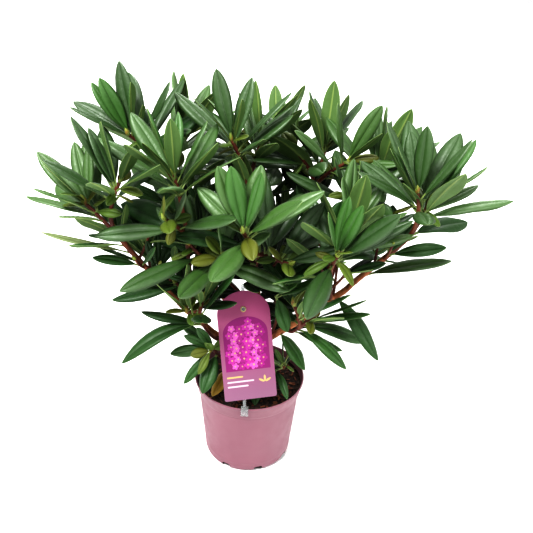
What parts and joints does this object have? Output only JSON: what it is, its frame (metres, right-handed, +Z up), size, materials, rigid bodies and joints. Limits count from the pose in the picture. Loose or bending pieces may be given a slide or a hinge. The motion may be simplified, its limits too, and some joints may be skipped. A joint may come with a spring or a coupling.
{
  "type": "potted rhododendron",
  "caption": "Evergreen flowering shrub, out of bloom, with whorls of long leaves on spreading boughs, in a round tapered nursery pot with a plant tag clipped to its rim.",
  "frame": {"origin": "centre of the pot's flat underside", "axes": "+Z up along the pot's axis, +X to the right seen from the front, -Y to the front, where the tag is"},
  "size_m": [0.6461, 0.5133, 0.6093],
  "materials": {
    "pot_plastic": "matte mauve-pink moulded plastic",
    "soil": "dark moist peat with bark chips",
    "bark": "thin brown bark, redder on young wood",
    "foliage": "leathery green leaves with a soft sheen",
    "tag_card": "printed mauve plastic card, satin",
    "clear_plastic": "clear moulded plastic"
  },
  "bodies": {
    "root": {"pot": "pot_plastic", "potting_soil": "soil", "trunk": "bark", "bough_right": "bark", "bough_right_front": "bark", "bough_right_back": "bark", "bough_front": "bark", "bough_front_left": "bark", "bough_left": "bark", "bough_left_middle": "bark", "bough_left_back": "bark", "bough_top": "bark", "bough_back": "bark", "bough_back_right": "bark", "bough_low_left": "bark", "bough_low_right": "bark", "bough_low_back": "bark", "bough_low_back_right": "bark", "bough_basal_left": "bark", "bough_basal_right": "bark", "foliage_right": "foliage", "foliage_right_front": "foliage", "foliage_right_back": "foliage", "foliage_front": "foliage", "foliage_front_left": "foliage", "foliage_left": "foliage", "foliage_left_middle": "foliage", "foliage_left_back": "foliage", "foliage_top": "foliage", "foliage_back": "foliage", "foliage_back_right": "foliage", "foliage_low_left": "foliage", "foliage_low_right": "foliage", "foliage_low_back": "foliage", "foliage_low_back_right": "foliage", "foliage_basal_left": "foliage", "foliage_basal_right": "foliage", "plant_tag": "tag_card", "tag_holder": "clear_plastic"}
  },
  "joints": []
}
